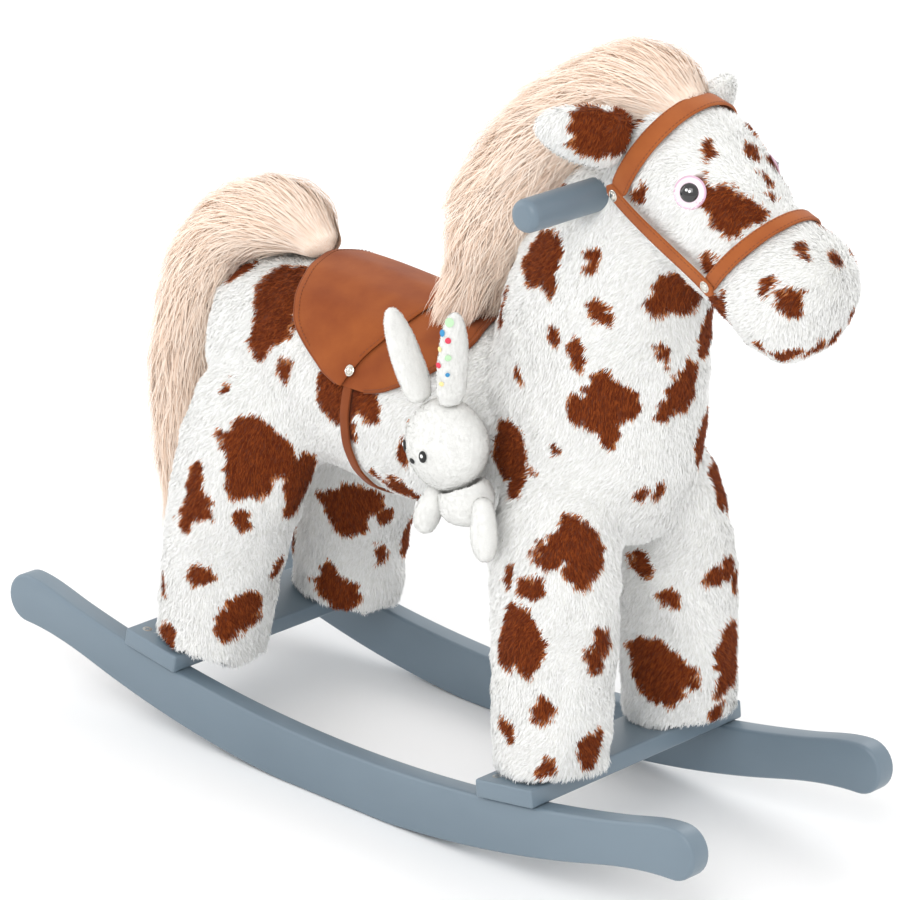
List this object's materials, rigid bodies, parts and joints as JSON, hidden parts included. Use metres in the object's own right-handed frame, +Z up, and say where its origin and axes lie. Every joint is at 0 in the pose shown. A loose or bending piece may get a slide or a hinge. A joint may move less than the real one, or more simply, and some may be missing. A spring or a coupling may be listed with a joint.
{
  "type": "plush rocking horse",
  "caption": "Plush rocking horse on a pair of bent wooden rockers, with footboards, inner wooden frame, handle bar, saddle, bridle and a bunny soft toy at its flank.",
  "frame": {"origin": "bottom centre of the overall box, on the floor between the two rockers", "axes": "+X towards the horse's nose, +Y to its left, +Z up"},
  "size_m": [0.7534, 0.2702, 0.6403],
  "materials": {
    "grey_blue_paint": "satin",
    "pine": "matte",
    "spotted_plush": "matte",
    "peach_fur": "matte",
    "brown_suede": "matte",
    "zinc_steel": "satin",
    "rivet_metal": "satin",
    "black_plastic": "gloss",
    "bunny_plush": "matte"
  },
  "bodies": {
    "horse": {"rocker_right": "grey_blue_paint", "rocker_left": "grey_blue_paint", "rear_footboard": "grey_blue_paint", "front_footboard": "grey_blue_paint", "board_screw_rear_right": "zinc_steel", "post_screw_rear_right": "zinc_steel", "leg_post_rear_right": "pine", "spine_screw_rear_right": "zinc_steel", "leg_plush_rear_right": "spotted_plush", "board_screw_rear_left": "zinc_steel", "post_screw_rear_left": "zinc_steel", "leg_post_rear_left": "pine", "spine_screw_rear_left": "zinc_steel", "leg_plush_rear_left": "spotted_plush", "board_screw_front_right": "zinc_steel", "post_screw_front_right": "zinc_steel", "leg_post_front_right": "pine", "spine_screw_front_right": "zinc_steel", "leg_plush_front_right": "spotted_plush", "board_screw_front_left": "zinc_steel", "post_screw_front_left": "zinc_steel", "leg_post_front_left": "pine", "spine_screw_front_left": "zinc_steel", "leg_plush_front_left": "spotted_plush", "spine_board": "pine", "neck_post": "pine", "neck_post_screw_1": "zinc_steel", "neck_post_screw_2": "zinc_steel", "handle_bar": "grey_blue_paint", "handle_screw": "zinc_steel", "torso_plush": "spotted_plush", "neck_plush": "spotted_plush", "head_plush": "spotted_plush", "ear_right": "spotted_plush", "ear_left": "spotted_plush", "mane": "peach_fur", "saddle": "brown_suede", "girth_strap": "brown_suede", "bridle_crown": "brown_suede", "bridle_noseband": "brown_suede", "saddle_rivet_right": "rivet_metal", "bridle_cheek_right": "brown_suede", "bridle_rivet_upper_right": "rivet_metal", "bridle_rivet_lower_right": "rivet_metal", "eye_right": "black_plastic", "eye_washer_right": "zinc_steel", "saddle_rivet_left": "rivet_metal", "bridle_cheek_left": "brown_suede", "bridle_rivet_upper_left": "rivet_metal", "bridle_rivet_lower_left": "rivet_metal", "eye_left": "black_plastic", "eye_washer_left": "zinc_steel"},
    "tail": {"tail": "peach_fur"},
    "bunny": {"bunny_head": "bunny_plush", "bunny_body": "bunny_plush", "bunny_ear_right": "bunny_plush", "bunny_ear_left": "bunny_plush", "bunny_eye_right": "black_plastic", "bunny_eye_left": "black_plastic", "bunny_nose": "black_plastic"}
  },
  "joints": [
    {"name": "tail_swing", "type": "hinge", "parent": "horse", "child": "tail", "pos_m": [-0.1716, 0, 0.4], "axis": [0, 0, 1], "range_deg": [-20, 20], "stiffness_Nm_per_rad": 0.06},
    {"name": "bunny_pull", "type": "slide", "parent": "horse", "child": "bunny", "axis": [0, -1, 0], "range_m": [0, 0.06]}
  ]
}
